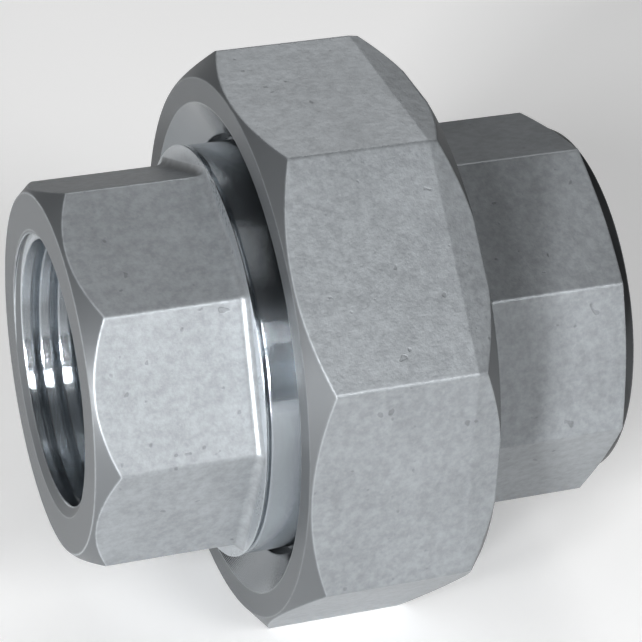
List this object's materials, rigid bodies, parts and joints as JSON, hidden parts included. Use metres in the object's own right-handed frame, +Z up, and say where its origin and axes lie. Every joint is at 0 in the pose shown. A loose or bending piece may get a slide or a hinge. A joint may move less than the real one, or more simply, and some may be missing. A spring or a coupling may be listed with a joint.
{
  "type": "pipe union",
  "caption": "Female pipe union with octagonal wrench ends, joined by an octagonal screw nut over a gasketed flat seat.",
  "frame": {"origin": "on the pipe axis at the sealing plane, midway between the two pipe mouths and midway along the nut", "axes": "+X along the pipe axis from the tail piece to the head piece, +Z up through the centre of a nut flat, +Y completing a right-handed frame"},
  "size_m": [0.051, 0.051, 0.051],
  "materials": {
    "tail_steel": "cast, machined at the mouth, neck and collar",
    "nut_steel": "cast flats, machined front face",
    "head_steel": "cast flats, machined mouth and threaded spigot",
    "gasket_fibre": "matt"
  },
  "bodies": {
    "head": {"head_piece": "head_steel", "sealing_gasket": "gasket_fibre"},
    "tail": {"tail_piece": "tail_steel"},
    "nut": {"union_nut": "nut_steel"}
  },
  "joints": [
    {"name": "tail_draw", "type": "slide", "parent": "head", "child": "tail", "axis": [-1, 0, 0], "range_m": [0, 0.007]},
    {"name": "nut_turn", "type": "hinge", "parent": "tail", "child": "nut", "pos_m": [0, 0, 0], "axis": [-1, 0, 0], "range_deg": [0, 1260]}
  ],
  "couplings": [
    {"joint": "tail_draw", "follows": "nut_turn", "m_per_rad": 0.00031831}
  ]
}
